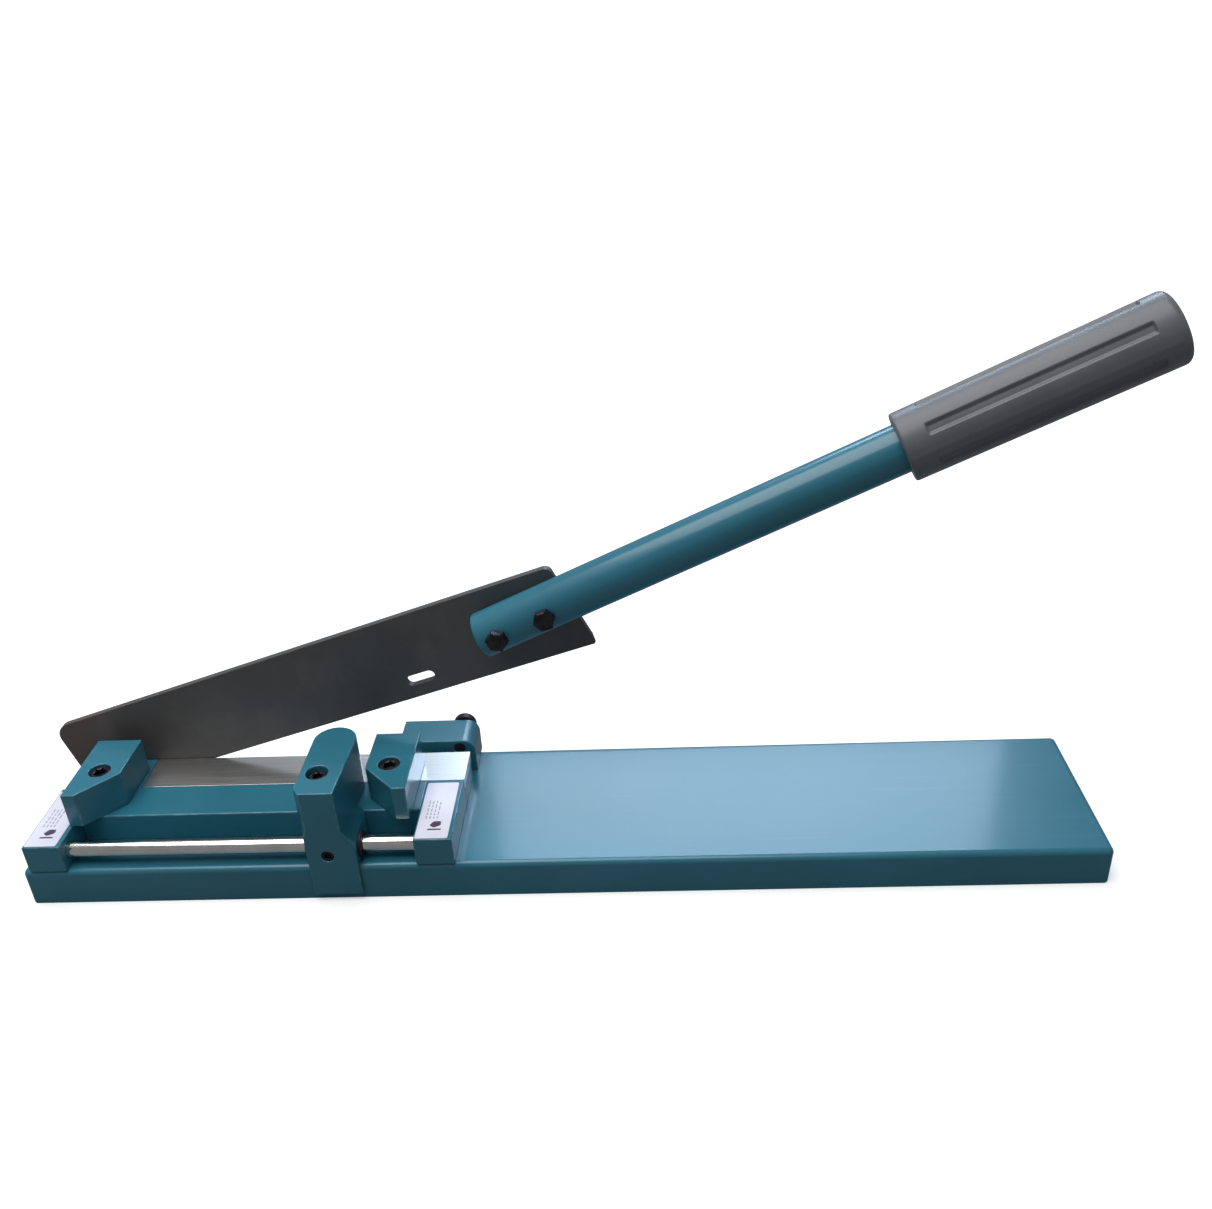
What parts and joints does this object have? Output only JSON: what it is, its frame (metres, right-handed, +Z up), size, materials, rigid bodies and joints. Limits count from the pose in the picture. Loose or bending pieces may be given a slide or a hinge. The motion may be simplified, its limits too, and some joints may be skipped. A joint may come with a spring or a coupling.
{
  "type": "lever tile cutter",
  "caption": "Hand-lever tile cutter on a folded steel base: a hinged guillotine blade with a tube handle shears against a fixed lower blade, with a sliding stop on a rod.",
  "frame": {"origin": "middle of the bottom of the whole object's box at rest, on the bench", "axes": "+X along the base towards the handle, +Y from the front flange to the back, +Z up"},
  "size_m": [0.5682, 0.106, 0.2778],
  "materials": {
    "teal_paint": "glossy hammered-smooth enamel",
    "blade_steel": "blackened, mottled from heat treatment",
    "ground_steel": "ground and polished",
    "rod_chrome": "hard chromed",
    "fastener_black": "black oxide",
    "pad_bronze": "sintered bronze",
    "black_nylon": "moulded black nylon",
    "grip_rubber": "moulded, matt",
    "label_film": "white printed film"
  },
  "bodies": {
    "base": {"base_tray": "teal_paint", "left_end_block": "teal_paint", "right_end_block": "teal_paint", "guide_rod": "rod_chrome", "left_rod_set_screw": "fastener_black", "right_rod_set_screw": "fastener_black", "guide_bar": "teal_paint", "blade_rail": "teal_paint", "lower_blade": "ground_steel", "pivot_block": "teal_paint", "left_jaw": "teal_paint", "right_jaw": "teal_paint", "left_jaw_screw": "fastener_black", "right_jaw_screw": "fastener_black", "guide_block": "teal_paint", "guide_adjust_bolt": "fastener_black", "guide_pad": "black_nylon", "guide_screw_1": "fastener_black", "guide_screw_2": "fastener_black", "left_block_screw": "fastener_black", "right_block_screw": "fastener_black", "bar_screw_1": "fastener_black", "bar_screw_2": "fastener_black", "blade_screw_1": "fastener_black", "blade_screw_2": "fastener_black", "pivot_block_screw": "fastener_black", "left_label": "label_film", "right_label": "label_film", "pivot_bolt": "fastener_black", "pivot_spring_washer": "fastener_black", "pivot_washer": "fastener_black"},
    "slider": {"slider": "teal_paint", "slider_bush_left": "black_nylon", "slider_bush_right": "black_nylon", "slider_clamp_screw": "fastener_black", "slider_lock_pad": "pad_bronze"},
    "lock_screw": {"slider_lock_screw": "fastener_black"},
    "lever": {"moving_blade": "blade_steel", "handle_tube": "teal_paint", "grip": "grip_rubber", "handle_bolt_1": "fastener_black", "handle_bolt_2": "fastener_black", "handle_washer_1": "fastener_black", "handle_washer_2": "fastener_black", "handle_nut_1": "fastener_black", "handle_nut_2": "fastener_black"}
  },
  "joints": [
    {"name": "blade_lever", "type": "hinge", "parent": "base", "child": "lever", "pos_m": [-0.24594, 0.0243, 0.0315], "axis": [0, -1, 0], "range_deg": [-17.3, 19.9]},
    {"name": "slider_travel", "type": "slide", "parent": "base", "child": "slider", "axis": [1, 0, 0], "range_m": [-0.1, 0.004]},
    {"name": "slider_lock_turn", "type": "hinge", "parent": "slider", "child": "lock_screw", "pos_m": [-0.12004, -0.051, 0.029], "axis": [0, -1, 0], "range_deg": [0, 180]}
  ]
}
